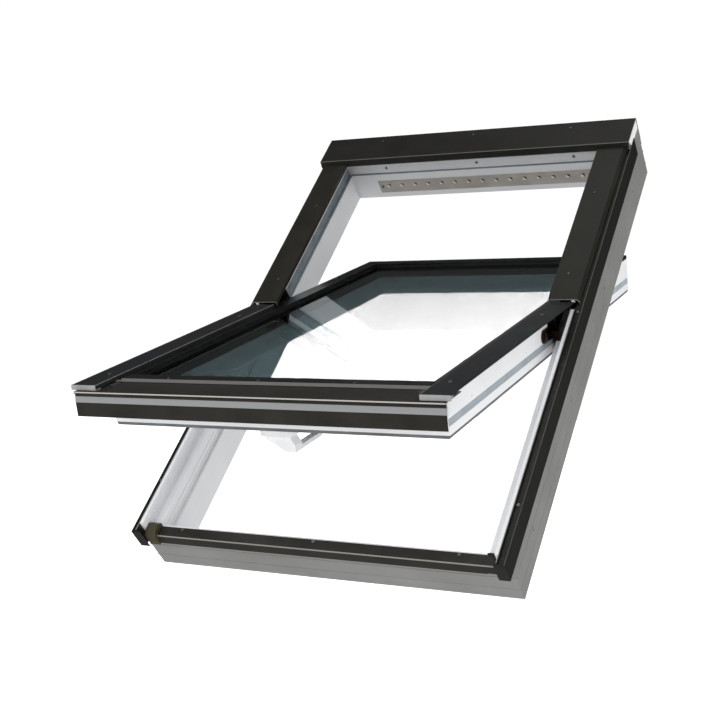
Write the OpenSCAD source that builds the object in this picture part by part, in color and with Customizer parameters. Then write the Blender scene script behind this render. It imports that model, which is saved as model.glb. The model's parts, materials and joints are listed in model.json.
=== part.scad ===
// Centre-pivot roof skylight: white PVC frame and sash with dark aluminium covers.
// Drawn in the plane of the roof (X across, Y up the slope, Z out of the roof),
// then tilted to the roof pitch. The sash is shown part open.

/* [Frame] */
// outside width of the frame
frame_w = 780; // [660:1:940]
// outside length of the frame, measured up the slope
frame_l = 1180; // [980:1:1400]
// width of the stiles and of the head
stile_w = 43; // [40:1:50]
// width of the slim sill
sill_w = 18; // [15:0.5:19]
// depth of the PVC frame profile
frame_h = 110; // [104:1:116]
// pitch of the roof the frame lies in
roof_pitch = 45; // [15:1:85]

/* [Covers] */
// height of the outside edge of the side covers above the back of the frame
side_cover_top = 133; // [126:0.5:133]
// width of the side covers
side_cover_w = 21; // [18:0.5:23]
// thickness of the aluminium covers
sheet_t = 1.5; // [1:0.1:1.7]
// width of the top hood, measured up the slope
hood_w = 88; // [80:1:95]
// reach of the side covers below the frame
cover_drop = 20; // [12:1:24]

/* [Sash] */
// opening angle of the sash as drawn
open_angle = 31.6; // [0:0.1:80]
// side clearance between the sash and the frame
side_gap = 9; // [8.7:0.1:10]
// width of the sash profile
sash_w = 60; // [52:1:70]
// reach of the sash covers below the frame
apron_drop = 38; // [32:1:46]

/* [Glass] */
// thickness of each pane
pane_t = 4; // [3:0.5:5]
// thickness of the whole glazing unit
unit_t = 24; // [20:1:26]

/* [Handle] */
// length of the lever
lever_l = 92; // [70:1:110]
// width of the handle base
handle_w = 64; // [54:1:80]

/* [Hidden] */
$fn = 48;
e = 0.02;
half_w = frame_w / 2;
wall = 4;                       // outside liner zone
liner_h = 86;
back_h = 0;
in_x = half_w - stile_w;        // clear half width of the frame
in_y0 = sill_w;
in_y1 = frame_l - stile_w;
sill_h = frame_h - sheet_t;
cut_y = 611 + (frame_l - 1180) / 2;   // where upper and lower covers meet
pivot_y = cut_y;
pivot_z = 146;
// sash
sash_x = in_x - side_gap;
sash_y0 = in_y0 + 9;
sash_y1 = in_y1 - 4;
sash_z0 = 51;
sash_top = 124;
ledge_z = sash_top - unit_t - 4;       // 96: a thinner unit stands on a higher ledge
bead_z = sash_top + 8;               // 132
unit_z = ledge_z + 2;
pane_in = 18;                          // edge of the panes from the sash edge
bead_w = 36;
bead_bar_y = sash_y0 + 35;
// covers
wide_top = 144;
wide_in = 317.6 + (half_w - 390);
wide_out = 377 + (half_w - 390);
sash_cover_top = 140;
sash_cover_in = 321 + (half_w - 390);
sash_cover_out = 375 + (half_w - 390);
hood_top = 153;
hood_front = frame_l + 4 - hood_w - 2;
hood_hem = 136;
side_x0 = half_w - side_cover_w;
top_w = side_cover_w - 7;              // flat top of the side cover, outside the upstand
upstand_top = sash_cover_top - sheet_t - 0.5;
upstand_y1 = cut_y - 22;
// hinge
arc_in = 65;
arc_out = 75;
arc_gap = 0.3;
arm_t = 3;
tongue_t = 5;
house_x0 = sash_x + arm_t + 1;
house_x1 = in_x + 9;
house_z0 = 62;
house_z1 = 137;
house_l = 164;
cup_y = pivot_y - 99;
cup_z = 93;
cup_r = 14;
// gasket groove
groove_z = 74.5;
groove_h = 3;
groove_d = 3;
seal_top = 98;
lip = 5.5;
// screws
shank_r = 2;
head_r = 3.6;
fit = 0.05;
// fixing holes in the stiles
fix_y = [115, 426, 738, 1049];
fix_z = [51, 60];
fix_r = 2.25;
// handle
side_groove_z = 66;
side_groove_h = 13.5;
side_groove_d = 5;
drain_y = [133, cut_y - 200];
hand_y = sash_y0 + 27;
spindle_a = 7;
bolt_w = 27.4;
bolt_h = 9.4;
bolt_z = 75;
lever_z = 12;

// ---------- placing ----------
module roof() { rotate([roof_pitch, 0, 0]) children(); }
module swing() {
    translate([0, pivot_y, pivot_z]) rotate([-open_angle, 0, 0])
        translate([0, -pivot_y, -pivot_z]) children();
}
module sash() { roof() swing() children(); }
module flip() { mirror([1, 0, 0]) children(); }

// ---------- bars: profile points are [distance in from the edge, height] ----------
// left-hand bar with its edge at x = -a, from y0 to y1
module bar_y(a, y0, y1) {
    translate([-a, y1, 0]) rotate([90, 0, 0]) linear_extrude(y1 - y0) children();
}
// lower bar with its edge at y = y0, from x = -a to a
module bar_x(a, y0) {
    translate([-a, y0, 0]) rotate([90, 0, 90]) linear_extrude(2 * a) children();
}
// upper bar with its edge at y = y1
module bar_top(a, y1) {
    translate([0, y1, 0]) mirror([0, 1, 0]) bar_x(a, 0) children();
}
// wedge that keeps the left bar's side of the mitres of a ring (a, y0, y1)
module keep_left(a, y0, y1, c, m = 3) {
    translate([0, 0, -20]) linear_extrude(220)
        polygon([[-a - m, y0 - m], [-a + c, y0 + c], [-a + c, y1 - c], [-a - m, y1 + m]]);
}
module keep_low(a, y0, c, m = 3) {
    translate([0, 0, -20]) linear_extrude(220)
        polygon([[-a - m, y0 - m], [a + m, y0 - m], [a - c, y0 + c], [-a + c, y0 + c]]);
}
module keep_top(a, y1, c, m = 3) {
    translate([0, y1, 0]) mirror([0, 1, 0]) keep_low(a, 0, c, m);
}
module slab(x0, x1, y0, y1, z0, z1) {
    translate([x0, y0, z0]) cube([x1 - x0, y1 - y0, z1 - z0]);
}
module ring(a, y0, y1, w, z0, z1) {
    difference() {
        slab(-a, a, y0, y1, z0, z1);
        slab(-a + w, a - w, y0 + w, y1 - w, z0 - 1, z1 + 1);
    }
}
// pan-head screw standing on height z, shank going down
module screw_z(x, y, z, l, r = head_r) {
    translate([x, y, z - l]) cylinder(r = shank_r, h = l);
    translate([x, y, z]) cylinder(r = r, h = 1.6);
}
module hole_z(x, y, z0, z1) {
    translate([x, y, z0]) cylinder(r = shank_r + fit, h = z1 - z0);
}

// ---------- frame profiles ----------
module frame_2d() {
    difference() {
        polygon([[wall, 0], [stile_w, 0], [stile_w, frame_h], [wall, frame_h]]);
        polygon([[9, 8], [30, 8], [30, 66], [9, 66]]);
        polygon([[9, 72], [30, 72], [30, 103], [9, 103]]);
    }
}
module sill_2d() {
    difference() {
        polygon([[wall, 0], [sill_w, 0], [sill_w, sill_h], [wall, sill_h]]);
        polygon([[8, 8], [sill_w - 4, 8], [sill_w - 4, 64], [8, 64]]);
    }
}
module liner_2d() {
    polygon([[wall, 0], [1, 0], [1, 26.5], [0, 27.5], [0, 29], [1, 30], [1, 61],
             [0, 62], [0, 63.5], [1, 64.5], [1, liner_h - 3], [0, liner_h - 1.5],
             [0, liner_h], [wall, liner_h]]);
}
module groove() {
    slab(-in_x - groove_d, in_x + groove_d, pivot_y + house_l / 2 + 2, in_y1,
         groove_z, seal_top);
    difference() {
        slab(-in_x - groove_d, in_x + groove_d, in_y0 - groove_d, in_y1 + groove_d,
             groove_z, groove_z + groove_h);
        slab(-in_x - groove_d - 1, in_x + groove_d + 1, pivot_y - house_l / 2 - 2,
             pivot_y + house_l / 2 + 2, groove_z - 1, groove_z + groove_h + 1);
    }
}
module fix_holes() {
    for (y = fix_y)
        for (z = fix_z)
            translate([-half_w - 2, y * frame_l / 1180, z]) rotate([0, 90, 0])
                cylinder(r = fix_r, h = 14);
}
module house_pocket() {
    slab(-house_x1 - fit, -in_x + 1, pivot_y - house_l / 2, pivot_y + house_l / 2,
         house_z0, frame_h + 1);
}
module hinge_screw_spots(r, x0, l) {
    for (s = [-1, 1])
        translate([x0, pivot_y + s * (house_l / 2 - 9), 82]) rotate([0, 90, 0])
            cylinder(r = r, h = l);
    translate([x0, pivot_y, 96]) rotate([0, 90, 0]) cylinder(r = r, h = l);
}
module upstand() {
    slab(-half_w + top_w + 0.05, -side_x0 - 0.3, -2, sill_w + 1, frame_h, upstand_top);
    bar_y(half_w, sill_w, upstand_y1)
        polygon([[top_w + 0.05, frame_h - 1], [top_w + 0.05, upstand_top],
                 [side_cover_w - 0.3, upstand_top], [side_cover_w - 0.3, 130],
                 [side_cover_w + 0.9, 129], [side_cover_w + 0.9, 126],
                 [side_cover_w - 0.3, 125], [side_cover_w - 0.3, frame_h + 4],
                 [side_cover_w + 1.2, frame_h + 2.5], [side_cover_w + 1.2, frame_h - 1]]);
}
module stile_solid() {
    difference() {
        union() {
            intersection() {
                bar_y(half_w, sill_w, frame_l - wall) frame_2d();
                keep_left(half_w, -100, frame_l, stile_w + 1);
            }
            upstand();
        }
        for (z = [85.3, 96.5])
            slab(-in_x - 1.2, -in_x + 1, in_y0 + 1, pivot_y - house_l / 2 - 4, z, z + 1.4);
        groove();
        fix_holes();
        house_pocket();
        flip() hinge_screw_spots(shank_r + fit, in_x - 2, 24);
        for (y = side_screw_y) hole_z(-side_screw_x, y, frame_h - 8, frame_h + 1);
        for (y = bracket_y) for (d = [-16, 16])
            hole_z(-bracket_screw_x, y + d, frame_h - 12, frame_h + 1);
    }
}
side_screw_x = half_w - 7.3;
side_screw_y = [108, cut_y - 25];
bracket_y = [cut_y + 44, cut_y + 326];
bracket_screw_x = half_w - 26.5;
module stile_left() { color("white") roof() stile_solid(); }
module stile_right() { color("white") roof() flip() stile_solid(); }

vent_x = 278 + (half_w - 390);
vent_z0 = 16;
vent_z1 = 52;
vent_c = 37;
head_screw_x = [-241, 0, 241];
head_screw_z = 92;
module head_member() {
    color("white") roof() difference() {
        intersection() {
            bar_top(half_w, frame_l) frame_2d();
            keep_top(half_w, frame_l, stile_w + 1);
        }
        groove();
        slab(-vent_x + 18, vent_x - 18, in_y1 - 1, in_y1 + 14, vent_c - 9, vent_c + 9);
        for (x = head_screw_x) translate([x, in_y1 - 1, head_screw_z]) rotate([-90, 0, 0])
            cylinder(r = shank_r + fit, h = 12);
        for (x = [-vent_x + 9, vent_x - 9]) translate([x, in_y1 - 1, vent_c - 2])
            rotate([-90, 0, 0]) cylinder(r = shank_r + fit, h = 12);
        for (x = hood_screw_x) hole_z(x, hood_screw_y, frame_h - 6, frame_h + 1);
    }
}
sill_screw_x = [-293, 0, 293];
sill_screw_y = 10;
module sill_member() {
    color("white") roof() difference() {
        bar_x(half_w - wall, 0) sill_2d();
        groove();
        for (x = sill_screw_x) hole_z(x, sill_screw_y, sill_h - 14, sill_h + 1);
        slab(-bolt_w / 2 - 0.8, bolt_w / 2 + 0.8, 10, in_y0 + 1,
             bolt_z - bolt_h / 2 - 0.8, bolt_z + bolt_h / 2 + 1.2);
        for (s = [-1, 1]) translate([s * 21, in_y0 + 1, bolt_z]) rotate([90, 0, 0])
            cylinder(r = shank_r + fit, h = 9);
    }
}
corner_top = 128;                      // the liner rises beside the head
module liner_left_solid() {
    difference() {
        intersection() {
            union() {
                bar_y(half_w, 0, frame_l) liner_2d();
                slab(-half_w, -half_w + wall, in_y1 + 1.3, frame_l, liner_h - 2, corner_top);
            }
            keep_left(half_w, 0, frame_l, 10);
        }
        fix_holes();
    }
}
module liner_left() { color("gray") roof() liner_left_solid(); }
module liner_right() { color("gray") roof() flip() liner_left_solid(); }
module liner_sill() {
    color("gray") roof() intersection() {
        bar_x(half_w, 0) liner_2d();
        keep_low(half_w, 0, 10);
    }
}
module liner_head() {
    color("gray") roof() intersection() {
        bar_top(half_w, frame_l) liner_2d();
        keep_top(half_w, frame_l, 10);
    }
}
module tube_2d(w0, w1, z0, z1, t) {
    difference() {
        polygon([[w0, z0], [w1, z0], [w1, z1], [w0, z1]]);
        polygon([[w0 + t, z0 + t], [w1 - t, z0 + t], [w1 - t, z1 - t], [w0 + t, z1 - t]]);
    }
}
module frame_steel_sides() {
    color("silver") roof() {
        bar_y(half_w, 40, frame_l - 60) tube_2d(9.3, 29.7, 8.3, 46, 1.5);
        flip() bar_y(half_w, 40, frame_l - 60) tube_2d(9.3, 29.7, 8.3, 46, 1.5);
    }
}
module frame_steel_head() {
    color("silver") roof() bar_top(half_w - 60, frame_l) tube_2d(9.3, 27, 8.3, 26, 1.5);
}

// ---------- frame covers ----------
module side_cover_solid() {
    difference() {
        union() {
        bar_y(half_w, -cover_drop + 1.2, in_y1 + 1)
            polygon([[0, liner_h + 0.5], [sheet_t, liner_h + 0.5],
                     [sheet_t, side_cover_top - sheet_t],
                     [top_w - sheet_t, side_cover_top - sheet_t],
                     [top_w - sheet_t, frame_h], [top_w, frame_h],
                     [top_w, side_cover_top], [0, side_cover_top]]);
            slab(-half_w + top_w - sheet_t, -half_w + top_w, -cover_drop + 1.2, upstand_y1,
                 side_cover_top - 0.5, upstand_top + 0.5);
        }
        for (y = side_screw_y) hole_z(-side_screw_x, y, side_cover_top - 5, side_cover_top + 1);
    }
}
module side_cover_left() { color("#22221f") roof() side_cover_solid(); }
module side_cover_right() { color("#22221f") roof() flip() side_cover_solid(); }
module end_cap_solid() {
    slab(-half_w, -side_x0, -cover_drop, -cover_drop + 1.2, liner_h + 0.5, side_cover_top);
    slab(-half_w + sheet_t, -half_w + top_w - sheet_t, -cover_drop + 1.2, -2,
         liner_h + 1, side_cover_top - sheet_t);
}
module end_cap_left() { color("#3a3631") roof() end_cap_solid(); }
module end_cap_right() { color("#3a3631") roof() flip() end_cap_solid(); }
block_x0 = 345 + (half_w - 390);
module sill_cover() {
    color("#2b2a26") roof() difference() {
        bar_x(block_x0, 0)
            polygon([[-9.5, liner_h - 1], [-8, liner_h - 1], [-8, sill_h],
                     [sill_w - 4, sill_h], [sill_w - 4, frame_h], [-7.5, frame_h],
                     [-9.5, frame_h - 2]]);
        for (x = sill_screw_x) hole_z(x, sill_screw_y, sill_h - 1, frame_h + 1);
    }
}
module sill_block_solid() {
    translate([-side_x0 + e, 0, 0]) rotate([90, 0, 90]) linear_extrude(side_x0 - block_x0 - e)
        polygon([[-15, liner_h + 2], [-0.5, liner_h + 2], [-0.5, sill_h], [sill_w - 1, sill_h],
                 [sill_w - 1, 116], [sill_w - 8, 122], [-6, 122], [-15, 113]]);
}
module sill_block_left() { color("#3a3720") roof() sill_block_solid(); }
// the right end piece is low, with a small tab against the sash
module sill_block_right() {
    color("#2b2a26") roof() translate([block_x0, 0, 0]) rotate([90, 0, 90])
        linear_extrude(side_x0 - block_x0 - e)
        polygon([[-9.5, liner_h + 2], [-0.5, liner_h + 2], [-0.5, sill_h], [sill_w - 1, sill_h],
                 [sill_w - 1, frame_h + 3], [sill_w - 4, frame_h + 3], [sill_w - 4, frame_h],
                 [-7.5, frame_h], [-9.5, frame_h - 2]]);
}
wide_end = hood_front - 1;
wide_screw_x = 343 + (half_w - 390);
wide_screw_y = [cut_y + 75, cut_y + 329];
module wide_cover_solid() {
    difference() {
        translate([0, wide_end, 0]) rotate([90, 0, 0]) linear_extrude(wide_end - cut_y)
            polygon([[-wide_in, wide_top], [-wide_out, wide_top],
                     [-wide_out - 6, wide_top - 6], [-wide_out - 6, side_cover_top],
                     [-wide_out - 6 + sheet_t, side_cover_top],
                     [-wide_out - 6 + sheet_t, wide_top - 6.6],
                     [-wide_out + 0.6, wide_top - sheet_t],
                     [-wide_in - sheet_t, wide_top - sheet_t], [-wide_in - sheet_t, bead_z + 3],
                     [-wide_in, bead_z + 3]]);
        for (y = wide_screw_y) hole_z(-wide_screw_x, y, wide_top - 3, wide_top + 1);
    }
}
module wide_cover_left() { color("#26261f") roof() wide_cover_solid(); }
module wide_cover_right() { color("#26261f") roof() flip() wide_cover_solid(); }
br_len = 84;
leg_x = house_x1 + 1;
module bracket_solid(y) {
    difference() {
        translate([0, y + br_len / 2, 0]) rotate([90, 0, 0]) linear_extrude(br_len)
            polygon([[-wide_screw_x + 13, wide_top - sheet_t], [-leg_x - 2, wide_top - sheet_t],
                     [-leg_x - 2, frame_h + 2], [-side_x0 + 1, frame_h + 2],
                     [-side_x0 + 1, frame_h], [-leg_x, frame_h],
                     [-leg_x, wide_top - sheet_t - 2.5],
                     [-wide_screw_x + 13, wide_top - sheet_t - 2.5]]);
        for (d = [-16, 16]) hole_z(-bracket_screw_x, y + d, frame_h - 1, frame_h + 3);
        for (w = wide_screw_y) hole_z(-wide_screw_x, w, wide_top - 6, wide_top);
    }
}
module cover_brackets() {
    color("silver") roof() for (y = bracket_y) {
        bracket_solid(y);
        flip() bracket_solid(y);
    }
}
hood_half = half_w - 0.7;
hood_screw_x = [-240, 0, 240];
hood_screw_y = frame_l - 15;
module hood() {
    color("#22221f") roof() difference() {
        union() {
            slab(-hood_half, hood_half, hood_front + 3, frame_l + 4, hood_top - sheet_t, hood_top);
            translate([-hood_half, 0, 0]) rotate([90, 0, 90]) linear_extrude(2 * hood_half)
                polygon([[hood_front + 4, hood_top], [hood_front, hood_hem],
                         [hood_front + 8, hood_hem], [hood_front + 8, hood_hem + 5],
                         [hood_front + 6.5, hood_hem + 5], [hood_front + 6.5, hood_hem + sheet_t],
                         [hood_front + 2, hood_hem + sheet_t],
                         [hood_front + 5.4, hood_top - sheet_t], [hood_front + 6, hood_top]]);
            slab(-hood_half, hood_half, frame_l + 4 - sheet_t, frame_l + 4, 96, hood_top - e);
        }
        for (x = hood_screw_x) hole_z(x, hood_screw_y, hood_top - 5, hood_top + 1);
    }
}
module cheek() {
    translate([-half_w + 0.9, 0, 0]) rotate([90, 0, 90]) linear_extrude(3.4)
        polygon([[hood_front + 9, hood_top - sheet_t], [hood_front + 17, side_cover_top + 0.3],
                 [in_y1 + 1.5, side_cover_top + 0.3], [in_y1 + 1.5, corner_top + 0.2],
                 [frame_l - 1, corner_top + 0.2], [frame_l - 1, hood_top - sheet_t]]);
}
module head_box() {
    color("white") roof() difference() {
        union() {
            slab(-half_w + 4.1, half_w - 4.1, in_y1 + 4, frame_l - 1, frame_h,
                 hood_top - sheet_t);
            cheek();
            flip() cheek();
        }
        slab(-half_w + 7.1, half_w - 7.1, in_y1 + 7, frame_l - 19, frame_h - 1, hood_top - 5);
        for (x = hood_screw_x) hole_z(x, hood_screw_y, frame_h - 1, hood_top);
    }
}
module vent_strip() {
    color("#b8b0a8") roof() difference() {
        slab(-vent_x, vent_x, in_y1 - 1.5, in_y1, vent_z0, vent_z1);
        for (i = [-7:7])
            slab(i * 35.9 - 5, i * 35.9 + 5, in_y1 - 2, in_y1 + 1, vent_c - 5, vent_c + 5);
        for (x = [-vent_x + 9, vent_x - 9]) translate([x, in_y1 - 3, vent_c - 2])
            rotate([-90, 0, 0]) cylinder(r = shank_r + fit, h = 5);
    }
}
module vent_filter() {
    color("#6a5238") roof()
        slab(-vent_x + 18.2, vent_x - 18.2, in_y1 + 0.2, in_y1 + 12, vent_c - 8.8, vent_c + 8.8);
}
module frame_gasket() {
    color("#6e7072") roof() difference() {
        union() {
            slab(-in_x - groove_d, in_x + groove_d, in_y0 - groove_d, in_y1 + groove_d,
                 groove_z, groove_z + groove_h);
            for (s = [0, 1]) mirror([s, 0, 0])
                slab(-in_x - groove_d, -in_x - 0.4, pivot_y + house_l / 2 + 2, in_y1,
                     groove_z + e, seal_top);
        }
        slab(-in_x + lip, in_x - lip, in_y0 + 4, in_y1 - 2.5, groove_z - 1, groove_z + 4);
        slab(-in_x - 9, in_x + 9, pivot_y - house_l / 2 - 2, pivot_y + house_l / 2 + 2,
             groove_z - 1, groove_z + 4);
        slab(-28, 28, in_y0 - groove_d - 1, in_y0 + 9, groove_z - 1, groove_z + 4);
    }
}

// ---------- hinge, right-hand side ----------
module arc_ring(r0, r1, x0, x1) {
    translate([x0, pivot_y, pivot_z]) rotate([0, 90, 0]) difference() {
        cylinder(r = r1, h = x1 - x0, $fn = 96);
        translate([0, 0, -1]) cylinder(r = r0, h = x1 - x0 + 2, $fn = 96);
    }
}
module housing_solid() {
    difference() {
        union() {
            slab(house_x0, house_x1, pivot_y - house_l / 2, pivot_y + house_l / 2,
                 house_z0, frame_h);
            slab(house_x0, in_x + 9, pivot_y - house_l / 2, pivot_y + house_l / 2,
                 frame_h - e, house_z1);
        }
        arc_ring(arc_in - arc_gap, arc_out + arc_gap, house_x0 - 1, house_x0 + tongue_t + 1);
        hinge_screw_spots(shank_r + fit, house_x0 - 1, 30);
        hinge_screw_spots(head_r + fit, house_x0 - 1, 3);
    }
}
module hinge_housing_right() { color("#5a4a3a") roof() housing_solid(); }
module hinge_housing_left() { color("#5a4a3a") roof() flip() housing_solid(); }
module hinge_screws() {
    color("silver") roof() for (s = [0, 1]) mirror([s, 0, 0]) {
        hinge_screw_spots(shank_r, house_x0 + 1, 19);
        hinge_screw_spots(head_r, house_x0 + 0.4, 1.6);
    }
}
// part of the tongue between angles a0 and a1 (0 = straight down, plus = up the slope)
module arc_keep(x0, x1, a0, a1) {
    translate([x0, pivot_y, pivot_z]) rotate([90, 0, 90]) linear_extrude(x1 - x0)
        polygon([[0, 0], [160 * sin(a0), -160 * cos(a0)], [230 * sin(a0 / 2), -230 * cos(a0 / 2)],
                 [0, -240], [230 * sin(a1 / 2), -230 * cos(a1 / 2)],
                 [160 * sin(a1), -160 * cos(a1)]]);
}
module arm_solid() {
    difference() {
        union() {
            intersection() {
                arc_ring(arc_in - 5, arc_out + 5, sash_x, sash_x + arm_t);
                arc_keep(sash_x - 1, sash_x + arm_t + 1, -80, 80);
            }
            slab(sash_x, sash_x + arm_t, cup_y, pivot_y - 50, cup_z - 14, cup_z + 14);
            intersection() {
                arc_ring(arc_in, arc_out, sash_x + arm_t - e, sash_x + arm_t + tongue_t);
                arc_keep(sash_x, sash_x + 20, -80, 80);
            }
            translate([sash_x, cup_y, cup_z]) rotate([0, 90, 0]) rotate_extrude()
                polygon([[0, 0], [cup_r, 0], [cup_r, arm_t + 1], [cup_r - 1.2, arm_t + 2.8],
                         [cup_r - 3.5, arm_t + 4], [5, arm_t + 4.6], [0, arm_t + 4.6]]);
        }
        arm_holes(shank_r + fit, -1, 10);
    }
}
module arm_holes(r, x0, l) {
    for (y = [cup_y + 20, cup_y + 34])
        translate([sash_x + x0, y, cup_z - 6]) rotate([0, 90, 0]) cylinder(r = r, h = l);
}
module hinge_arm_right() { color("#6a4028") sash() arm_solid(); }
module hinge_arm_left() { color("#6a4028") sash() flip() arm_solid(); }
module lock_keeper() {
    color("silver") roof() difference() {
        slab(-27, 27, in_y0, in_y0 + 1.5, bolt_z - 10, bolt_z + 10);
        slab(-bolt_w / 2 - 0.5, bolt_w / 2 + 0.5, in_y0 - 1, in_y0 + 2,
             bolt_z - bolt_h / 2 - 0.5, bolt_z + bolt_h / 2 + 1);
        for (s = [-1, 1]) translate([s * 21, in_y0 + 3, bolt_z]) rotate([90, 0, 0])
            cylinder(r = shank_r + fit, h = 6);
    }
}
module cover_screws() {
    color("silver") roof() {
        for (s = [0, 1]) mirror([s, 0, 0]) {
            for (y = side_screw_y) screw_z(side_screw_x, y, side_cover_top, 28);
            for (y = wide_screw_y) screw_z(wide_screw_x, y, wide_top, 6);
        }
        for (x = sill_screw_x) screw_z(x, sill_screw_y, frame_h, 12);
        for (x = hood_screw_x) screw_z(x, hood_screw_y, hood_top, 46);
    }
}
module frame_screws() {
    color("silver") roof() {
        for (x = head_screw_x) translate([x, in_y1, head_screw_z]) rotate([-90, 0, 0]) {
            cylinder(r = shank_r, h = 10);
            translate([0, 0, -1.6]) cylinder(r = head_r, h = 1.6);
        }
        for (x = [-vent_x + 9, vent_x - 9])
            translate([x, in_y1 - 1.5, vent_c - 2]) rotate([-90, 0, 0]) {
                cylinder(r = shank_r, h = 11);
                translate([0, 0, -1.2]) cylinder(r = head_r, h = 1.2);
            }
        for (s = [-1, 1]) translate([s * 21, in_y0 + 1.5, bolt_z]) rotate([90, 0, 0]) {
            cylinder(r = shank_r, h = 8);
            translate([0, 0, -1.2]) cylinder(r = head_r, h = 1.2);
        }
        for (s = [0, 1]) mirror([s, 0, 0]) for (y = bracket_y) for (d = [-16, 16])
            screw_z(bracket_screw_x, y + d, frame_h + 2, 12);
    }
}

// ---------- sash ----------
module sash_2d() {
    difference() {
        polygon([[0, sash_z0], [sash_w - 6, sash_z0], [sash_w, sash_z0 + 6], [sash_w, ledge_z],
                 [14, ledge_z], [14, sash_top], [0, sash_top]]);
        polygon([[8.9, 57], [38, 57], [38, 90], [8.9, 90]]);
        polygon([[42, 60], [54, 60], [54, 90], [42, 90]]);
    }
}
module sash_stile_solid() {
    difference() {
        intersection() {
            bar_y(sash_x, sash_y0, sash_y1) sash_2d();
            keep_left(sash_x, sash_y0, sash_y1, sash_w + 1);
        }
        slab(-sash_x - 1, -sash_x + side_groove_d, sash_y0 - 1, sash_y1 + 1,
             side_groove_z, side_groove_z + side_groove_h);
        for (y = drain_y) translate([-sash_x - 1, y, 88]) rotate([0, 90, 0])
            cylinder(r = 2.2, h = 6);
        flip() arm_holes(shank_r + fit, -9, 10);
    }
}
module sash_stile_left() { color("white") sash() sash_stile_solid(); }
module sash_stile_right() { color("white") sash() flip() sash_stile_solid(); }
module sash_head() {
    color("white") sash() intersection() {
        bar_top(sash_x, sash_y1) sash_2d();
        keep_top(sash_x, sash_y1, sash_w + 1);
    }
}
module sash_rail() {
    color("white") sash() difference() {
        intersection() {
            bar_x(sash_x, sash_y0) sash_2d();
            keep_low(sash_x, sash_y0, sash_w + 1);
        }
        slab(-bolt_w / 2 - 0.3, bolt_w / 2 + 0.3, sash_y0 - 1, sash_y0 + 48,
             bolt_z - bolt_h / 2 - 0.3, bolt_z + bolt_h / 2 + 0.3);
        translate([0, hand_y, sash_z0 - 1]) cylinder(r = 5.3, h = 30);
        for (s = [-1, 1]) hole_z(s * handle_screw_x, hand_y, sash_z0 - 1, sash_z0 + 12);
    }
}
module sash_steel_sides() {
    color("silver") sash() {
        bar_y(sash_x, sash_y0 + 60, sash_y1 - 60) tube_2d(9, 37.7, 57.3, 89.7, 1.5);
        flip() bar_y(sash_x, sash_y0 + 60, sash_y1 - 60) tube_2d(9, 37.7, 57.3, 89.7, 1.5);
    }
}
module sash_steel_ends() {
    color("silver") sash() {
        difference() {
            bar_x(sash_x - 60, sash_y0) tube_2d(9.2, 37.7, 57.3, 89.7, 1.5);
            slab(-40, 40, sash_y0, sash_y0 + 60, 50, 100);
        }
        bar_top(sash_x - 60, sash_y1) tube_2d(9.2, 37.7, 57.3, 89.7, 1.5);
    }
}
module pane(z) {
    slab(-sash_x + pane_in, sash_x - pane_in, sash_y0 + pane_in, sash_y1 - pane_in, z, z + pane_t);
}
module pane_inner() { color("#aac4c8") sash() pane(unit_z); }
module pane_outer() { color("#4c5a5c") sash() pane(unit_z + unit_t - pane_t); }
module pane_spacer() {
    color("#9aa0a4") sash() ring(sash_x - pane_in - 4, sash_y0 + pane_in + 4,
        sash_y1 - pane_in - 4, 10, unit_z + pane_t, unit_z + unit_t - pane_t);
}
module glazing_tape() {
    color("#303234") sash() ring(sash_x - pane_in - 3, sash_y0 + pane_in + 3,
        sash_y1 - pane_in - 3, 8, ledge_z, unit_z);
}
module glazing_gasket() {
    color("#1c1d1e") sash() ring(sash_x - 29, sash_y0 + 29, sash_y1 - 29, 5,
        unit_z + unit_t, bead_z - sheet_t);
}
module bead_2d() {
    polygon([[0, sash_top], [sheet_t, sash_top], [sheet_t, bead_z - sheet_t],
             [bead_w - sheet_t, bead_z - sheet_t], [bead_w - sheet_t, bead_z - 4.5],
             [bead_w, bead_z - 4.5], [bead_w, bead_z - 0.8], [bead_w - 0.8, bead_z],
             [0, bead_z]]);
}
bead_screw_y = [sash_y1 - 466, sash_y1 - 206];
bead_screw_x = [-200, 0, 200];
bead_bar_x = sash_x - 30;
module bead_left_solid() {
    difference() {
        intersection() {
            bar_y(sash_x, bead_bar_y, sash_y1) bead_2d();
            keep_left(sash_x, -100, sash_y1, bead_w + 1);
        }
        for (y = bead_screw_y) hole_z(-sash_x + 9, y, bead_z - 3, bead_z + 1);
    }
}
module bead_left() { color("#141414") sash() bead_left_solid(); }
module bead_right() { color("#141414") sash() flip() bead_left_solid(); }
module bead_top() {
    color("#141414") sash() difference() {
        intersection() {
            bar_top(sash_x, sash_y1) bead_2d();
            keep_top(sash_x, sash_y1, bead_w + 1);
        }
        for (x = bead_screw_x) hole_z(x, sash_y1 - 9, bead_z - 3, bead_z + 1);
    }
}
module bead_bottom() {
    color("#1a1a1a") sash() difference() {
        bar_x(sash_x, 0)
            polygon([[sash_y0 - 4, sash_top + sheet_t], [sash_y0 + 27, sash_top + sheet_t],
                     [sash_y0 + 27, bead_z - sheet_t], [bead_bar_y - e, bead_z - sheet_t],
                     [bead_bar_y - e, bead_z - 1], [sash_y0 + 28, bead_z + 3],
                     [sash_y0 + 2, bead_z + 3], [sash_y0 - 4, bead_z - 2]]);
        for (x = apron_screw_x) hole_z(x, sash_y0 + 8, sash_top + 1, bead_z + 4);
        for (s = [-1, 1]) slab(s * (sash_x - 10) - 17, s * (sash_x - 10) + 17,
            sash_y0 - 5, bead_bar_y + 1, bead_z - 0.1, bead_z + 5);
    }
}
apron_screw_x = [-210, -20, 170];
apron_half = 367 + (half_w - 390);
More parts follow.
